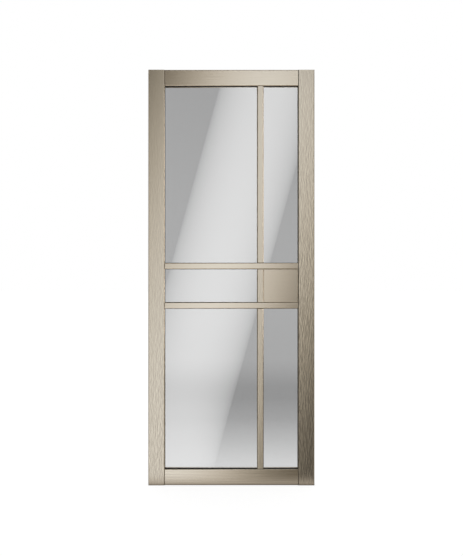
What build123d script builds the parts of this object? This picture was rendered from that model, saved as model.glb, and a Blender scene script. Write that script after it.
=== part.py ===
from build123d import *
import os

# Glazed interior door leaf: two stiles, two rails, slim glazing bars, a lock block and five beaded panes.
# X runs from the hinge edge to the lock edge, Y from the front face to the back face, Z up from the bottom.
# The origin is on the hinge edge, at mid thickness, level with the bottom of the leaf.

# Leaf
leaf_height = 2032.0
leaf_width = 813.0
leaf_thickness = 35.0

# Widths of the frame members as seen from the front
stile_face = 80.5
top_rail_face = 79.0
bottom_rail_face = 80.0
bar_face = 31.0

# Centre lines of the glazing bars
upright_centre_x = 548.5
lower_bar_centre_z = 879.5
upper_bar_centre_z = 1072.5

# Glazing rebate: a fixed lip at the front, open to the back, where a bead closes it
lip_depth = 13.0
rebate_width = 9.0
setting_clearance = 1.5

# Glass, and the channel gasket that wraps its edge and lines the lip from the glass to just behind its rounding
glass_thickness = 6.0
gasket_wall = 1.5
gasket_sight = 0.6
gasket_bevel = 0.3
lining_setback = 0.5

# Rounded edges: on the faces of the members, beside the beads, on the lock block and on the beads
arris = 4.0
joint_arris = 0.8
block_arris = 2.0
bead_arris = 1.5

# Planes through the thickness, from front to back
front_y = -leaf_thickness / 2
back_y = leaf_thickness / 2
lining_y = front_y + arris + lining_setback
shoulder_y = front_y + lip_depth
glass_front_y = shoulder_y + gasket_wall
glass_back_y = glass_front_y + glass_thickness
bead_front_y = glass_back_y + gasket_wall

# How far the glass reaches behind the lip
glass_cover = rebate_width - setting_clearance - gasket_wall

# Sight lines: the edges of the lips that frame the panes and the lock block
hinge_sight_x = stile_face
lock_sight_x = leaf_width - stile_face
upright_left_x = upright_centre_x - bar_face / 2
upright_right_x = upright_centre_x + bar_face / 2
bottom_sight_z = bottom_rail_face
lower_bar_bottom_z = lower_bar_centre_z - bar_face / 2
lower_bar_top_z = lower_bar_centre_z + bar_face / 2
upper_bar_bottom_z = upper_bar_centre_z - bar_face / 2
upper_bar_top_z = upper_bar_centre_z + bar_face / 2
top_sight_z = leaf_height - top_rail_face

# Openings between the lips: left, right, bottom, top
panes = {
    "upper_wide": (hinge_sight_x, upright_left_x, upper_bar_top_z, top_sight_z),
    "upper_narrow": (upright_right_x, lock_sight_x, upper_bar_top_z, top_sight_z),
    "middle": (hinge_sight_x, upright_left_x, lower_bar_top_z, upper_bar_bottom_z),
    "lower_wide": (hinge_sight_x, upright_left_x, bottom_sight_z, lower_bar_bottom_z),
    "lower_narrow": (upright_right_x, lock_sight_x, bottom_sight_z, lower_bar_bottom_z),
}
block_opening = (upright_right_x, lock_sight_x, lower_bar_top_z, upper_bar_bottom_z)


def save(piece, name):
    # Labels a finished piece and writes it to a file of its own.
    piece.part.label = name
    export_step(piece.part, f"parts/{name}.step")


def opening_plane(opening, y):
    # A plane that faces the front, centred on an opening.
    left, right, bottom, top = opening
    return Plane(origin=((left + right) / 2, y, (bottom + top) / 2), x_dir=(1, 0, 0), z_dir=(0, -1, 0))


def opening_size(opening):
    left, right, bottom, top = opening
    return right - left, top - bottom


def member_section(plane, face, rebated_sides):
    # Section of a stile, rail or bar with its front face at -y: rounded edges on the faces, a rebate ploughed
    # out of the back of each side that holds glass (-1 or 1 along x), and an eased edge where a bead lies.
    with BuildSketch(plane) as section:
        RectangleRounded(face, leaf_thickness, arris)
        for side in rebated_sides:
            with Locations((side * (face - rebate_width) / 2, lip_depth / 2)):
                Rectangle(rebate_width, leaf_thickness - lip_depth, mode=Mode.SUBTRACT)
        back_corners = section.vertices().group_by(Axis.Y)[-1].sort_by(Axis.X)
        fillet([back_corners[-1] if side == 1 else back_corners[0] for side in rebated_sides], joint_arris)
    return section


def stile(middle_x, glazed_side):
    # A full-height stile. The rails fill its rebate at both ends.
    section = member_section(Plane(origin=(middle_x, 0, 0)), stile_face, [glazed_side])
    with BuildPart() as post:
        extrude(section.sketch, amount=leaf_height)
    return post


def shouldered_member(plane, face, rebated_sides, sight_length):
    # A rail or bar with long and short shoulders: the lip stops at the neighbour's lip, and the body behind it
    # runs on through the neighbour's rebate. The plane lies across the member at the first lip shoulder.
    section = member_section(plane.offset(-rebate_width), face, rebated_sides)
    with BuildPart() as member:
        extrude(section.sketch, amount=sight_length + 2 * rebate_width)
        with BuildSketch(plane.offset(-rebate_width), plane.offset(sight_length)):
            with Locations((0, front_y)):
                Rectangle(face, lip_depth, align=(Align.CENTER, Align.MIN))
        extrude(amount=rebate_width, mode=Mode.SUBTRACT)
    return member


def cross_member(middle_z, face, rebated_sides):
    # A rail or cross bar from stile to stile. The section's x points down.
    plane = Plane(origin=(hinge_sight_x, 0, middle_z), x_dir=(0, 0, -1), z_dir=(1, 0, 0))
    return shouldered_member(plane, face, rebated_sides, lock_sight_x - hinge_sight_x)


def upright_bar(bottom_z, top_z):
    # One length of the upright glazing bar, between two cross members.
    plane = Plane(origin=(upright_centre_x, 0, bottom_z))
    return shouldered_member(plane, bar_face, [-1, 1], top_z - bottom_z)


def channel_gasket(opening):
    # A U-shaped gasket round a pane, squeezed between the lip and the bead, with a flange that lines the lip
    # in front of the glass. Its sight edges are bevelled.
    width, height = opening_size(opening)
    reach = 2 * (glass_cover + gasket_wall)
    with BuildPart() as gasket:
        with BuildSketch(opening_plane(opening, bead_front_y)):
            Rectangle(width + reach, height + reach)
        extrude(amount=bead_front_y - shoulder_y)
        with BuildSketch(opening_plane(opening, shoulder_y)):
            Rectangle(width, height)
        extrude(amount=shoulder_y - lining_y)
        with BuildSketch(opening_plane(opening, bead_front_y)):
            Rectangle(width - 2 * gasket_sight, height - 2 * gasket_sight)
        extrude(amount=bead_front_y - lining_y, mode=Mode.SUBTRACT)
        flat_faces = gasket.faces().filter_by(Axis.Y).sort_by(Axis.Y)
        for face in (flat_faces[0], flat_faces[-1]):
            chamfer(face.inner_wires()[0].edges(), gasket_bevel)
        with BuildSketch(opening_plane(opening, glass_back_y)):
            Rectangle(width + 2 * glass_cover, height + 2 * glass_cover)
        extrude(amount=glass_thickness, mode=Mode.SUBTRACT)
    return gasket


def pane(opening):
    width, height = opening_size(opening)
    with BuildPart() as glass:
        with BuildSketch(opening_plane(opening, glass_back_y)):
            Rectangle(width + 2 * glass_cover, height + 2 * glass_cover)
        extrude(amount=glass_thickness)
    return glass


def bead(opening, along, sight_length, span):
    # One stick of the bead frame behind a pane, mitred at both ends, flush with the back of the leaf and
    # rounded at its sight edge. It points along the given direction, with the pane's middle to its left.
    middle = opening_plane(opening, back_y)
    plane = Plane(origin=middle.origin, x_dir=along, z_dir=middle.z_dir)
    plane = plane.shift_origin(plane.from_local_coords((0, -span / 2 - rebate_width)))
    with BuildPart() as stick:
        with BuildSketch(plane):
            Trapezoid(sight_length + 2 * rebate_width, rebate_width, 45, align=(Align.CENTER, Align.MIN))
        extrude(amount=back_y - bead_front_y)
        back_face = stick.faces().sort_by(Axis.Y)[-1]
        fillet(back_face.edges().sort_by(Axis(plane.origin, plane.y_dir))[-1], bead_arris)
    return stick


os.makedirs("parts", exist_ok=True)

# Stiles and rails
save(stile(stile_face / 2, 1), "hinge_stile")
save(stile(leaf_width - stile_face / 2, -1), "lock_stile")
save(cross_member(leaf_height - top_rail_face / 2, top_rail_face, [1]), "top_rail")
save(cross_member(bottom_rail_face / 2, bottom_rail_face, [-1]), "bottom_rail")

# Glazing bars
save(cross_member(upper_bar_centre_z, bar_face, [-1, 1]), "upper_cross_bar")
save(cross_member(lower_bar_centre_z, bar_face, [-1, 1]), "lower_cross_bar")
save(upright_bar(upper_bar_top_z, top_sight_z), "upper_upright_bar")
save(upright_bar(lower_bar_top_z, upper_bar_bottom_z), "middle_upright_bar")
save(upright_bar(bottom_sight_z, lower_bar_bottom_z), "lower_upright_bar")

# Lock block: a solid panel as thick as the leaf, with a rebate round its front to fit behind the lips
block_width, block_height = opening_size(block_opening)
with BuildPart() as lock_block:
    with BuildSketch(opening_plane(block_opening, back_y)):
        Rectangle(block_width + 2 * rebate_width, block_height + 2 * rebate_width)
    extrude(amount=leaf_thickness)
    with BuildSketch(opening_plane(block_opening, shoulder_y)):
        Rectangle(block_width + 2 * rebate_width, block_height + 2 * rebate_width)
        Rectangle(block_width, block_height, mode=Mode.SUBTRACT)
    extrude(amount=lip_depth, mode=Mode.SUBTRACT)
    fillet(lock_block.faces().sort_by(Axis.Y)[0].edges(), block_arris)
    fillet(lock_block.faces().sort_by(Axis.Y)[-1].edges(), joint_arris)
save(lock_block, "lock_block")

# Glass, gaskets and beads
for pane_name, opening in panes.items():
    width, height = opening_size(opening)
    save(pane(opening), f"{pane_name}_pane")
    save(channel_gasket(opening), f"{pane_name}_gasket")
    save(bead(opening, (1, 0, 0), width, height), f"{pane_name}_bottom_bead")
    save(bead(opening, (-1, 0, 0), width, height), f"{pane_name}_top_bead")
    save(bead(opening, (0, 0, -1), height, width), f"{pane_name}_left_bead")
    save(bead(opening, (0, 0, 1), height, width), f"{pane_name}_right_bead")
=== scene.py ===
import math

import bmesh
import bpy
from mathutils import Matrix, Vector


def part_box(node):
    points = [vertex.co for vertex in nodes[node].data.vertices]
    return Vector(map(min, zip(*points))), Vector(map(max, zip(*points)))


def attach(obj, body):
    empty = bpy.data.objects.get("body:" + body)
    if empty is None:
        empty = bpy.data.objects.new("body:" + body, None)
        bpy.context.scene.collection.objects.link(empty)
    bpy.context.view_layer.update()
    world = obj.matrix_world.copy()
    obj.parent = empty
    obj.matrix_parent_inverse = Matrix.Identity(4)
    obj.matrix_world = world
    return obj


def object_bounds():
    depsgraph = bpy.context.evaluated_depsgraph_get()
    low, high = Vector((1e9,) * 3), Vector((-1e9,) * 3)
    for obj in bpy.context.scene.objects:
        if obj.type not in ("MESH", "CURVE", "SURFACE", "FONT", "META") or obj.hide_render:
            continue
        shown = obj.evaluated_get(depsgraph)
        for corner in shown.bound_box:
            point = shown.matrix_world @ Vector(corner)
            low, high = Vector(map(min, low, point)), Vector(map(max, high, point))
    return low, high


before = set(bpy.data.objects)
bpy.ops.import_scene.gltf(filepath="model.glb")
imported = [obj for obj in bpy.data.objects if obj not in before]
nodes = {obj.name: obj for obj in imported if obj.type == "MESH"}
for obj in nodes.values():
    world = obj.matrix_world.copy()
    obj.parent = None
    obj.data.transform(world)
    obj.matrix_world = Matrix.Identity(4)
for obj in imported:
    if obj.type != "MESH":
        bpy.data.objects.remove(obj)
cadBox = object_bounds()
leafWide, halfThick, leafHigh = cadBox[1]
white = (1.0, 1.0, 1.0, 1.0)
scene = bpy.context.scene
scene.view_settings.view_transform = "Standard"
print("door loaded:", len(nodes), "pieces")


class Signal:
    # one output socket; sums written on it become Math nodes
    def __init__(self, desk, socket):
        self.desk = desk
        self.socket = socket

    def sums(self, operation, first, second=0.0):
        return self.desk.add("ShaderNodeMath", {"operation": operation}, {0: first, 1: second})["Value"]

    def __add__(self, other):
        return self.sums("ADD", self, other)

    def __radd__(self, other):
        return self.sums("ADD", other, self)

    def __sub__(self, other):
        return self.sums("SUBTRACT", self, other)

    def __rsub__(self, other):
        return self.sums("SUBTRACT", other, self)

    def __mul__(self, other):
        return self.sums("MULTIPLY", self, other)

    def __rmul__(self, other):
        return self.sums("MULTIPLY", other, self)

    def __pow__(self, other):
        return self.sums("POWER", self, other)

    def __gt__(self, other):
        return self.sums("GREATER_THAN", self, other)

    def __abs__(self):
        return self.sums("ABSOLUTE", self)

    def between(self, low, high):
        # 0 at low, 1 at high, eased at both ends
        made = self.desk.add("ShaderNodeMapRange", {"interpolation_type": "SMOOTHSTEP"},
                             {"Value": self, "From Min": low, "From Max": high})
        return made["Result"]


class NodeDesk:
    # a node tree and the one way that nodes are put into it
    def __init__(self, tree):
        self.tree = tree
        tree.nodes.clear()

    def add(self, kind, settings=None, sockets=None):
        made = self.tree.nodes.new(kind)
        for name, value in (settings or {}).items():
            if name == "stops":
                self.setStops(made.color_ramp, value)
            else:
                setattr(made, name, value)
        for name, value in (sockets or {}).items():
            if isinstance(value, Signal):
                self.tree.links.new(value.socket, made.inputs[name])
            else:
                made.inputs[name].default_value = value
        return {out.name: Signal(self, out) for out in made.outputs if out.enabled}

    def setStops(self, ramp, stops):
        while len(ramp.elements) < len(stops):
            ramp.elements.new(1.0)
        for element, (place, grey) in zip(ramp.elements, stops):
            element.position = place
            element.color = (grey, grey, grey, 1.0)

    def place(self):
        return self.add("ShaderNodeTexCoord")["Object"]

    def axes(self, vector):
        return self.add("ShaderNodeSeparateXYZ", None, {"Vector": vector})

    def noise(self, place, scale, detail=2.0, roughness=0.5):
        made = self.add("ShaderNodeTexNoise", None,
                        {"Vector": place, "Scale": scale, "Detail": detail, "Roughness": roughness})
        return made["Fac"]

    def bump(self, strength, distance, height):
        made = self.add("ShaderNodeBump", None,
                        {"Strength": strength, "Distance": distance, "Height": height})
        return made["Normal"]

    def blend(self, share, first, second, mode="MIX"):
        # first where share is 0, second where it is 1, or first times second for MULTIPLY
        made = self.add("ShaderNodeMix", {"data_type": "RGBA", "blend_type": mode},
                        {0: share, 6: first, 7: second})
        return made["Result"]

    def blendShaders(self, share, first, second):
        return self.add("ShaderNodeMixShader", None, {"Fac": share, 1: first, 2: second})["Shader"]

    def glow(self, colour, strength):
        return self.add("ShaderNodeEmission", None, {"Color": colour, "Strength": strength})["Emission"]

    def surface(self, sockets):
        shader = self.add("ShaderNodeBsdfPrincipled", None, sockets)["BSDF"]
        self.add("ShaderNodeOutputMaterial", None, {"Surface": shader})


def newFinish(name):
    material = bpy.data.materials.new(name)
    material.use_nodes = True
    return material, NodeDesk(material.node_tree)


# brushed champagne foil over a layered timber core; lengths are in metres
foilLook = {
    "colour": (0.77, 0.67, 0.535, 1.0),
    "shade": (0.36, 0.305, 0.24, 1.0),
    "roughness": 0.24,
    "roughSpread": 0.08,
    # strokes per metre, across and along the brushing, for upright and level pieces
    "streak": {"z": (250.0, 34.0), "x": (230.0, 5.0)},
    "strokeRoughness": 0.55,
    "strokeStep": 0.85,
    "besideShare": 0.6,
    "strokeContrast": 0.8,
    "hair": (1700.0, 24.0),
    "hairDepth": 0.18,
    "hairBump": 0.04,
    "hairHeight": 0.0002,
    "bite": {"base": 0.72, "perHeight": 0.40, "perWidth": 0.60, "full": 1.2, "power": 1.4, "least": 0.17},
    "footFade": {"least": 0.3, "rise": (0.01, 0.09)},
    "roundingEnd": (0.0040, 0.0052),
    "edgeRise": (0.2, 1.3),
    # the dark tone and widths of the painted shade lines in the grooves between pieces
    "lineShadeTone": (0.10, 0.08, 0.06, 1.0),
    "buttLine": (0.0008, 0.0013),
    "sideLine": (0.0010, 0.0018),
    "coreColour": (0.40, 0.27, 0.155, 1.0),
    "coreShade": (0.28, 0.18, 0.095, 1.0),
    "coreRoughness": 0.75,
    "coreSpread": (0.3, 0.7),
    "layerScale": 420.0,
    "layerShare": 0.6,
    "poreScale": 900.0,
    "endFacing": 0.9,
}

# painted shade on the rounded edges: the tones multiplied onto the foil low and high on the leaf, deeper or
# lighter as the light falls on each kind of edge, and the depths behind the face where they come in
hingeEdgeShade = {"low": (0.76, 0.73, 0.67, 1.0), "high": (0.50, 0.48, 0.44, 1.0), "start": (0.0004, 0.0020)}
lockEdgeShade = {"low": (0.26, 0.24, 0.21, 1.0), "high": (0.66, 0.64, 0.60, 1.0), "start": (0.0002, 0.0012)}
barEdgeShade = {"low": (0.20, 0.18, 0.16, 1.0), "high": (0.66, 0.64, 0.60, 1.0), "start": (0.0002, 0.0012)}
levelEdgeShade = {"low": (0.38, 0.36, 0.33, 1.0), "high": (0.54, 0.52, 0.48, 1.0), "start": (0.00003, 0.0005)}

# how strongly the brushing shows on each kind of piece, and how much that changes over the leaf
hingeStileLook = {"streakDepth": 2.75, "bitePower": 1.0, "edge": hingeEdgeShade}
lockStileLook = {"streakDepth": 3.0, "bitePower": 1.0, "edge": lockEdgeShade}
barLook = {"streakDepth": 0.7, "bitePower": 1.0, "edge": barEdgeShade}
uprightBeadLook = {"streakDepth": 0.7, "bitePower": 1.0, "edge": hingeEdgeShade}
railLook = {"streakDepth": 0.58, "bitePower": 0.30, "edge": levelEdgeShade}
crossLook = {"streakDepth": 0.17, "bitePower": 0.35, "edge": levelEdgeShade}


def brushedFoil(name, grain, piece, lines):
    # grain is the axis that the brushing runs along
    look = foilLook
    material, desk = newFinish(name)
    place = desk.place()

    def strokes(counts, aside=0.0):
        scale = [counts[0]] * 3
        scale["xyz".index(grain)] = counts[1]
        shift = (aside, 0.0, 0.0) if grain == "z" else (0.0, 0.0, aside)
        drawn = desk.add("ShaderNodeMapping", None, {"Vector": place, "Scale": scale, "Location": shift})
        return desk.noise(drawn["Vector"], 1.0, 1.0, look["strokeRoughness"])

    # each stroke is set against the one beside it, which keeps them fine and even
    own = strokes(look["streak"][grain])
    beside = strokes(look["streak"][grain], look["strokeStep"])
    streak = 0.5 + (own - 0.5 - (beside - 0.5) * look["besideShare"]) * look["strokeContrast"]
    hair = strokes(look["hair"])

    # the brushing bites deeper towards the foot and, on either face, towards the right
    spot = desk.axes(place)
    turned = spot["Y"].between(-halfThick, halfThick)
    reach = spot["X"] + (leafWide - spot["X"] * 2.0) * turned
    bite = look["bite"]["base"] - spot["Z"] * look["bite"]["perHeight"] + reach * look["bite"]["perWidth"]
    bite = bite.between(0.0, look["bite"]["full"]) ** look["bite"]["power"] + look["bite"]["least"]
    bite = bite ** piece["bitePower"]
    if grain == "z":
        # but fades at the stiles' own feet
        least = look["footFade"]["least"]
        bite = bite * (least + spot["Z"].between(*look["footFade"]["rise"]) * (1.0 - least))
    tone = 0.5 + (streak - 0.5) * bite * piece["streakDepth"] + (hair - 0.5) * look["hairDepth"]
    foil = desk.blend(tone, look["shade"], look["colour"])

    # painted shade on the rounded edges of the faces, multiplied onto the foil and changing with height as the
    # light falls on them
    depth = halfThick - abs(spot["Y"])
    rounding = depth.between(*piece["edge"]["start"]) - depth.between(*look["roundingEnd"])
    edgeShadeTone = desk.blend(spot["Z"].between(*look["edgeRise"]), piece["edge"]["low"], piece["edge"]["high"])
    shadedFoil = desk.blend(rounding, foil, edgeShadeTone, "MULTIPLY")

    # painted shade: fine dark lines where a piece butts against its neighbours, at its ends and along its
    # sides, stand in for the shade in the grooves between the pieces
    along = spot[grain.upper()]
    across = spot["X" if grain == "z" else "Z"]
    back = spot["Y"] > 0.0
    lineShade = 0.0
    for start in lines.get("front", ()):
        lineShade = lineShade + (1.0 - abs(along - start).between(*look["buttLine"])) * (1.0 - back)
    for start in lines.get("back", ()):
        lineShade = lineShade + (1.0 - abs(along - start).between(*look["buttLine"])) * back
    for start in lines.get("side", ()):
        lineShade = lineShade + (1.0 - abs(across - start).between(*look["sideLine"]))
    if lines:
        shadedFoil = desk.blend(lineShade, shadedFoil, look["lineShadeTone"])

    # cut ends show the bare layered core
    facing = desk.axes(desk.add("ShaderNodeNewGeometry")["Normal"])
    cutEnd = abs(facing[grain.upper()]) > look["endFacing"]
    layers = desk.add("ShaderNodeTexNoise", {"noise_dimensions": "1D"},
                      {"W": spot["Y"], "Scale": look["layerScale"], "Detail": 2.0})["Fac"]
    pores = desk.noise(place, look["poreScale"], 3.0)
    coreTone = layers * look["layerShare"] + pores * (1.0 - look["layerShare"])
    core = desk.blend(coreTone.between(*look["coreSpread"]), look["coreShade"], look["coreColour"])

    roughness = look["roughness"] + (hair - 0.5) * look["roughSpread"]
    roughness = roughness + cutEnd * (look["coreRoughness"] - look["roughness"])
    desk.surface({"Base Color": desk.blend(cutEnd, shadedFoil, core), "Metallic": 1.0 - cutEnd,
                  "Roughness": roughness, "Normal": desk.bump(look["hairBump"], look["hairHeight"], hair)})
    return material


# grey float glass, with the faintest cloud in its tint
glassLook = {
    "colour": (0.714, 0.716, 0.717, 1.0),
    "cloud": (0.706, 0.709, 0.711, 1.0),
    "cloudScale": 6.0,
    "ior": 1.9,
}


def greyGlass(name):
    look = glassLook
    material, desk = newFinish(name)
    cloud = desk.noise(desk.place(), look["cloudScale"])
    desk.surface({"Base Color": desk.blend(cloud, look["cloud"], look["colour"]), "Roughness": 0.0,
                  "IOR": look["ior"], "Transmission Weight": 1.0})
    return material


# matt black gasket, with a fine grain
gasketLook = {
    "colour": (0.012, 0.011, 0.010, 1.0),
    "bloom": (0.018, 0.017, 0.015, 1.0),
    "roughness": 0.6,
    "roughSpread": 0.2,
    "gloss": 0.2,
    "grainScale": 2500.0,
    "grainBump": 0.2,
    "grainHeight": 0.0001,
}


def gasketRubber(name):
    look = gasketLook
    material, desk = newFinish(name)
    grain = desk.noise(desk.place(), look["grainScale"])
    desk.surface({"Base Color": desk.blend(grain, look["colour"], look["bloom"]),
                  "Roughness": look["roughness"] + (grain - 0.5) * look["roughSpread"],
                  "Specular IOR Level": look["gloss"],
                  "Normal": desk.bump(look["grainBump"], look["grainHeight"], grain)})
    return material


def namesEnding(*endings):
    return [name for name in nodes if name.endswith(endings)]


def ends(names, axis, which=(0, 1)):
    # where the pieces start and stop along one axis, each place once
    return sorted({round(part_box(name)[end][axis], 5) for name in names for end in which})


# pieces sorted by finish; the lamps below pick theirs from these lists
paneNames = namesEnding("_pane")
gasketNames = namesEnding("_gasket")
barNames = namesEnding("upright_bar")
uprightBeads = namesEnding("left_bead", "right_bead")
levelBeads = namesEnding("top_bead", "bottom_bead")
railNames = ["top_rail", "bottom_rail"]
crossNames = ["upper_cross_bar", "lower_cross_bar"]
uprightNames = ["hinge_stile", "lock_stile"] + barNames + uprightBeads
levelNames = railNames + crossNames + ["lock_block"] + levelBeads

# the lips butt at the sight lines in front; the bodies run on behind and butt at their own ends
# the painted shade lines are drawn at these butts, and along the lock stile a little in from its inner edge
lineLook = {"fromLockEdge": 0.0023}
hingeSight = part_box("hinge_stile")[1][0]
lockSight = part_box("lock_stile")[0][0]
lockLines = {"side": (lockSight + lineLook["fromLockEdge"],)}
barLines = {"front": ends(railNames + crossNames, 2)[1:-1], "back": ends(barNames, 2)}
levelLines = {"front": (hingeSight,), "back": ends(railNames + crossNames, 0)}
blockLines = {"back": ends(["lock_block"], 0), "side": ends(["lock_block"], 2)}

# beads meet the members along their outer sides
leftSides = ends(namesEnding("left_bead"), 0, (0,))
rightSides = ends(namesEnding("right_bead"), 0, (1,))
bottomSides = ends(namesEnding("bottom_bead"), 2, (0,))
topSides = ends(namesEnding("top_bead"), 2, (1,))
# the beads get painted shade lines along these sides
uprightBeadLines = {"side": leftSides + rightSides}
levelBeadLines = {"side": bottomSides + topSides}

finishes = (
    (paneNames, greyGlass("greyGlass")),
    (gasketNames, gasketRubber("blackGasket")),
    (["hinge_stile"], brushedFoil("champagneFoilStile", "z", hingeStileLook, {})),
    (["lock_stile"], brushedFoil("champagneFoilLock", "z", lockStileLook, lockLines)),
    (barNames, brushedFoil("champagneFoilBar", "z", barLook, barLines)),
    (uprightBeads, brushedFoil("champagneFoilUprightBead", "z", uprightBeadLook, uprightBeadLines)),
    (railNames, brushedFoil("champagneFoilRail", "x", railLook, levelLines)),
    (crossNames, brushedFoil("champagneFoilCross", "x", crossLook, levelLines)),
    (["lock_block"], brushedFoil("champagneFoilBlock", "x", crossLook, blockLines)),
    (levelBeads, brushedFoil("champagneFoilLevelBead", "x", crossLook, levelBeadLines)),
)
for names, finish in finishes:
    for name in names:
        nodes[name].data.materials.clear()
        nodes[name].data.materials.append(finish)
print("finishes set:", len(uprightNames), "upright and", len(levelNames), "level foil pieces,",
      len(paneNames), "panes")

# pins that hold the glazing beads, their small heads a little proud of the sight faces
pinLook = {
    "radius": 0.0012,
    "taper": 0.8,
    "rise": 0.0004,
    "sunk": 0.0003,
    "easedShare": 0.5,
    "sides": 12,
    "pitch": 0.16,
    "fromEnd": 0.035,
    "colour": (0.46, 0.39, 0.30, 1.0),
    "rub": (0.62, 0.55, 0.45, 1.0),
    "rubScale": 1600.0,
    "rubSpread": (0.35, 0.65),
    "roughness": 0.35,
    "roughSpread": 0.2,
}


def pinMetal(name):
    look = pinLook
    material, desk = newFinish(name)
    rub = desk.noise(desk.place(), look["rubScale"])
    desk.surface({"Base Color": desk.blend(rub.between(*look["rubSpread"]), look["colour"], look["rub"]),
                  "Metallic": 1.0, "Roughness": look["roughness"] + (rub - 0.5) * look["roughSpread"]})
    return material


def pinHead(heads, place, inward):
    # a tapered button with an eased rim, its foot sunk in the bead
    look = pinLook
    turn = inward.to_track_quat("Z", "Y").to_matrix().to_4x4()
    thick = look["rise"] + look["sunk"]
    seat = Matrix.Translation(place + inward * (look["rise"] - look["sunk"]) / 2) @ turn
    made = bmesh.ops.create_cone(heads, cap_ends=True, segments=look["sides"], radius1=look["radius"],
                                 radius2=look["radius"] * look["taper"], depth=thick, matrix=seat)
    eased = look["rise"] * look["easedShare"]
    crown = {vert for vert in made["verts"] if (vert.co - place).dot(inward) > eased}
    rim = [edge for edge in heads.edges if edge.verts[0] in crown and edge.verts[1] in crown]
    bmesh.ops.bevel(heads, geom=rim, offset=eased, offset_type="OFFSET", segments=2, profile=0.5,
                    affect="EDGES", material=-1)


def beadPins(paneName, finish):
    look = pinLook
    paneLow, paneHigh = (Vector(corner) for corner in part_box(paneName + "_pane"))
    middle = (paneLow + paneHigh) / 2
    heads = bmesh.new()
    for side, across, along in (("left", 0, 2), ("right", 0, 2), ("bottom", 2, 0), ("top", 2, 0)):
        low, high = (Vector(corner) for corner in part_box(f"{paneName}_{side}_bead"))
        centre = (low + high) / 2
        inward = Vector((0, 0, 0))
        inward[across] = 1 if centre[across] < middle[across] else -1
        # the mitres shorten the sight face by the bead's width at each end
        run = (high[along] - low[along]) - 2 * (high[across] - low[across]) - 2 * look["fromEnd"]
        count = max(2, round(run / look["pitch"]) + 1)
        for step in range(count):
            place = centre.copy()
            place[across] = high[across] if inward[across] > 0 else low[across]
            place[along] += run * (step / (count - 1) - 0.5)
            pinHead(heads, place, inward)
    mesh = bpy.data.meshes.new(paneName + "_bead_pins")
    heads.to_mesh(mesh)
    heads.free()
    mesh.materials.append(finish)
    pins = bpy.data.objects.new(paneName + "_bead_pins", mesh)
    scene.collection.objects.link(pins)
    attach(pins, "root")
    return pins


pinFinish = pinMetal("pinMetal")
pinPieces = [beadPins(name.removesuffix("_pane"), pinFinish) for name in paneNames]
print("bead pins set:", sum(len(pins.data.polygons) for pins in pinPieces), "faces")

# camera: square on to the leaf, at half its height; offCentre is along and up the leaf
view = {"away": 2.8, "frameHigh": 2.7175, "sensor": 36.0, "offCentre": (0.0005, -0.0022)}
faceMiddle = Vector((leafWide / 2, -halfThick, leafHigh / 2))
eye = faceMiddle + Vector((view["offCentre"][0], -view["away"], view["offCentre"][1]))
cameraData = bpy.data.cameras.new("camera")
cameraData.sensor_width = view["sensor"]
cameraData.lens = view["sensor"] * view["away"] / view["frameHigh"]
camera = bpy.data.objects.new("camera", cameraData)
camera.location = eye
camera.rotation_euler = (math.pi / 2, 0, 0)
scene.collection.objects.link(camera)
scene.camera = camera
print("camera set", view["away"], "m from the face")

# floor: white to the camera; through the glass it glows in painted bands of light and shade, bright by the
# leaf and darkest two to two and a half metres away; for the foil only, a painted glow along its foot
floorLook = {
    "size": 40.0,
    "matt": (0.3, 0.3, 0.3, 1.0),
    "lift": 0.84,
    "greyReach": 10.0,
    "glassViewShade": ((0.0, 1.0), (0.032, 0.985), (0.075, 0.77), (0.13, 0.56), (0.20, 0.46), (0.25, 0.46),
              (0.35, 0.56), (0.43, 0.61), (1.0, 0.63)),
    # a painted reflection: the glowing strip along the foot that only the foil sees, and its painted contact
    # shadow
    "footGlow": 0.60,
    "footTint": (1.0, 0.97, 0.93, 1.0),
    "footStrip": (0.0, 0.19),
    "contact": {"least": 0.30, "rise": (0.012, 0.058)},
    "hingeGlow": 1.10,
    "lockDrop": 0.17,
    "drop": (0.2, 0.7),
}


def paleFloor():
    look = floorLook
    mesh = bpy.data.meshes.new("floor")
    sheet = bmesh.new()
    bmesh.ops.create_grid(sheet, x_segments=1, y_segments=1, size=look["size"])
    sheet.to_mesh(mesh)
    sheet.free()
    floor = bpy.data.objects.new("floor", mesh)
    scene.collection.objects.link(floor)
    floor.visible_shadow = False
    floor.visible_diffuse = False
    material, desk = newFinish("floorPaint")
    mesh.materials.append(material)
    path = desk.add("ShaderNodeLightPath")
    spot = desk.axes(desk.place())
    depth = abs(spot["Y"])
    matt = desk.add("ShaderNodeBsdfDiffuse", None, {"Color": look["matt"]})["BSDF"]
    toCamera = desk.add("ShaderNodeAddShader", None, {0: matt, 1: desk.glow(white, look["lift"])})["Shader"]
    # painted light and shade for the glass: the grey each distance from the leaf glows with
    far = depth * (1.0 / look["greyReach"])
    glassViewShade = desk.add("ShaderNodeValToRGB", {"stops": look["glassViewShade"]}, {"Fac": far})
    toGlass = desk.glow(glassViewShade["Color"], 1.0)
    # painted contact shadow: the painted glow is weaker right under the leaf, and it also drops towards the
    # lock side
    least = look["contact"]["least"]
    contact = least + depth.between(*look["contact"]["rise"]) * (1.0 - least)
    towardLock = look["hingeGlow"] - spot["X"].between(*look["drop"]) * look["lockDrop"]
    glow = desk.glow(look["footTint"], contact * towardLock * look["footGlow"])
    clear = desk.add("ShaderNodeBsdfTransparent")["BSDF"]
    # the foil alone sees this painted glow, as a painted reflection fading out within 0.19 m of the leaf
    toFoil = desk.blendShaders(depth.between(*look["footStrip"]), glow, clear)
    lit = desk.blendShaders(path["Is Camera Ray"], matt, toCamera)
    lit = desk.blendShaders(path["Is Glossy Ray"], lit, toFoil)
    lit = desk.blendShaders(path["Is Transmission Ray"], lit, toGlass)
    desk.add("ShaderNodeOutputMaterial", None, {"Surface": lit})


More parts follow.
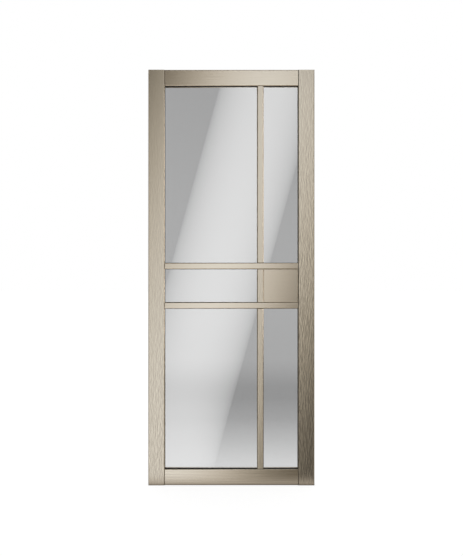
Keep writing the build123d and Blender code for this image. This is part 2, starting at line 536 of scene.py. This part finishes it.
# room: white to the camera, a pale wall through the glass, a gleam for the foil and soft fill for the rest;
# the ranges are parts of a direction's X, Y or Z
roomLook = {
    "wall": 0.629,
    "wallDim": 0.13,
    "wallRise": (0.0, 0.6),
    "wallSlope": 0.08,
    "gleam": 0.38,
    "gleamTint": (1.0, 0.925, 0.80, 1.0),
    "faceOn": (0.70, 0.95),
    "aboveGleam": 0.08,
    "above": (-0.15, 0.1),
    "belowGleam": 0.45,
    "below": (0.3, 1.0),
    "overheadDim": 0.8,
    "overhead": (0.15, 0.40),
    "inFront": (-0.5, 0.0),
    "slantGleam": 0.34,
    "slantFrom": (0.35, 0.60),
    "slantTo": (0.74, 0.88),
    "backGleam": 0.03,
    "behind": (0.5, 0.95),
    "least": 0.008,
    "fillLow": 0.06,
    "fillHigh": 0.75,
    "fillRise": (-0.3, 0.8),
}


def roomAround():
    look = roomLook
    world = bpy.data.worlds.new("room")
    scene.world = world
    world.use_nodes = True
    desk = NodeDesk(world.node_tree)
    path = desk.add("ShaderNodeLightPath")
    toward = desk.axes(desk.add("ShaderNodeTexCoord")["Generated"])
    aside, ahead, up = toward["X"], toward["Y"], toward["Z"]
    wall = look["wall"] - up.between(*look["wallRise"]) * look["wallDim"] - aside * look["wallSlope"]
    gleam = look["gleam"] + up.between(*look["above"]) * look["aboveGleam"]
    gleam = gleam + (0.0 - up).between(*look["below"]) * look["belowGleam"]
    overhead = up.between(*look["overhead"]) * (1.0 - ahead.between(*look["inFront"]))
    gleam = gleam * (1.0 - overhead * look["overheadDim"])
    # dark where the faces mirror it square on, brighter where only a slanting look at the leaf picks it up
    sideways = 1.0 - abs(ahead).between(*look["faceOn"])
    slant = abs(ahead).between(*look["slantFrom"]) * (1.0 - abs(ahead).between(*look["slantTo"]))
    gleam = look["least"] + sideways * gleam + slant * look["slantGleam"]
    gleam = gleam + ahead.between(*look["behind"]) * look["backGleam"]
    fill = look["fillLow"] + up.between(*look["fillRise"]) * (look["fillHigh"] - look["fillLow"])
    glossy, glassy, direct = path["Is Glossy Ray"], path["Is Transmission Ray"], path["Is Camera Ray"]
    other = fill * (1.0 - glossy) + gleam * glossy
    strength = direct + (1.0 - direct) * (glassy * wall + (1.0 - glassy) * other)
    tint = desk.blend(glossy * (1.0 - glassy), white, look["gleamTint"])
    back = desk.add("ShaderNodeBackground", None, {"Color": tint, "Strength": strength})["Background"]
    desk.add("ShaderNodeOutputWorld", None, {"Surface": back})


paleFloor()
roomAround()
print("floor and room ready")

# long tilted softboxes in front of the leaf and behind it; middle and half width are in pixels of the picture,
# where the face mirrors the lamp, and lean is its slope there
lampLook = {"away": 6.0, "wattsPerArea": 4.0, "pictureHigh": 556, "pictureMiddle": 231.5}
paneBand = {
    "middle": 216.6, "half": 49.5, "lean": 0.273, "length": 8.0, "radiance": 2.63, "shape": 0.5,
    "tint": white, "rimTint": white, "foot": (0.055, 0.26),
}
stileWash = {
    "middle": 205.5, "half": 138.5, "lean": 0.361, "length": 8.4, "radiance": 0.962, "shape": 0.60,
    "tint": (0.93, 1.0, 1.085, 1.0), "rimTint": (1.14, 1.0, 0.68, 1.0),
    "dimmed": 0.75, "dimSide": (-1.05, -0.70),
}
railWash = {
    "middle": 215.1, "half": 99.9, "lean": 0.268, "length": 8.7, "radiance": 1.322, "shape": 1.13,
    "tint": (0.91, 1.0, 1.115, 1.0), "rimTint": (1.17, 1.0, 0.72, 1.0),
}
railFill = {
    "middle": 231.5, "half": 260.0, "lean": 0.0, "length": 8.0, "radiance": 0.046, "shape": 0.5,
    "tint": (1.25, 1.0, 0.45, 1.0), "rimTint": (1.25, 1.0, 0.45, 1.0),
}


def areaLamp(name, wide, high, radiance, names):
    # a rectangle of light for the named pieces alone, which doesn't show itself
    data = bpy.data.lights.new(name, "AREA")
    data.shape = "RECTANGLE"
    data.size = wide
    data.size_y = high
    data.energy = lampLook["wattsPerArea"] * wide * high * radiance
    lamp = bpy.data.objects.new(name, data)
    lamp.visible_camera = False
    lamp.visible_transmission = False
    scene.collection.objects.link(lamp)
    reached = bpy.data.collections.new(name + "Lights")
    for piece in names:
        reached.objects.link(nodes[piece])
    lamp.light_linking.receiver_collection = reached
    return lamp


def tiltedSoftbox(name, look, names, facing):
    # facing is 1 for a lamp in front of the leaf and -1 for its twin behind
    spread = 1 + lampLook["away"] / view["away"]
    pixel = view["frameHigh"] / lampLook["pictureHigh"] * spread
    lean = math.atan(look["lean"])
    wide = 2 * look["half"] * math.cos(lean) * pixel
    lamp = areaLamp(name, wide, look["length"], look["radiance"], names)
    offset = (look["middle"] - lampLook["pictureMiddle"]) * pixel
    place = Vector((eye.x + offset * facing, facing * (faceMiddle.y - lampLook["away"]), eye.z))
    turn = Vector((0, facing, 0)).to_track_quat("-Z", "Y").to_matrix().to_4x4()
    lamp.matrix_world = Matrix.Translation(place) @ turn @ Matrix.Rotation(-lean, 4, "Z")
    # brightest along its middle and tinted at its rims
    lamp.data.use_nodes = True
    desk = NodeDesk(lamp.data.node_tree)
    spot = desk.axes(desk.add("ShaderNodeNewGeometry")["Parametric"])
    across = spot["X"] * 2.0 - 1.0
    shine = (1.0 - across * across) ** look["shape"]
    if "foot" in look:
        shine = shine * spot["Y"].between(*look["foot"])
    if "dimmed" in look:
        shine = shine * (1.0 - look["dimmed"] * (1.0 - across.between(*look["dimSide"])))
    glow = desk.glow(desk.blend(shine, look["rimTint"], look["tint"]), shine)
    desk.add("ShaderNodeOutputLight", None, {"Surface": glow})


for facing, side in ((1, "Front"), (-1, "Back")):
    tiltedSoftbox("paneBand" + side, paneBand, paneNames, facing)
    tiltedSoftbox("stileWash" + side, stileWash, uprightNames, facing)
    tiltedSoftbox("railWash" + side, railWash, levelNames, facing)
    tiltedSoftbox("railFill" + side, railFill, railNames, facing)

# a small lamp beside the leaf, high on the lock side, that picks out the upright edges
edgeKick = {
    "place": (2.0, -0.6, 1.45),
    "toward": (-1.0, 0.3, 0.0),
    "wide": 0.6,
    "high": 2.0,
    "radiance": 5.0,
}
kickedNames = ["hinge_stile"] + barNames
kick = areaLamp("edgeKick", edgeKick["wide"], edgeKick["high"], edgeKick["radiance"], kickedNames)
kick.location = edgeKick["place"]
kick.rotation_euler = Vector(edgeKick["toward"]).to_track_quat("-Z", "Y").to_euler()
print("lamps ready")
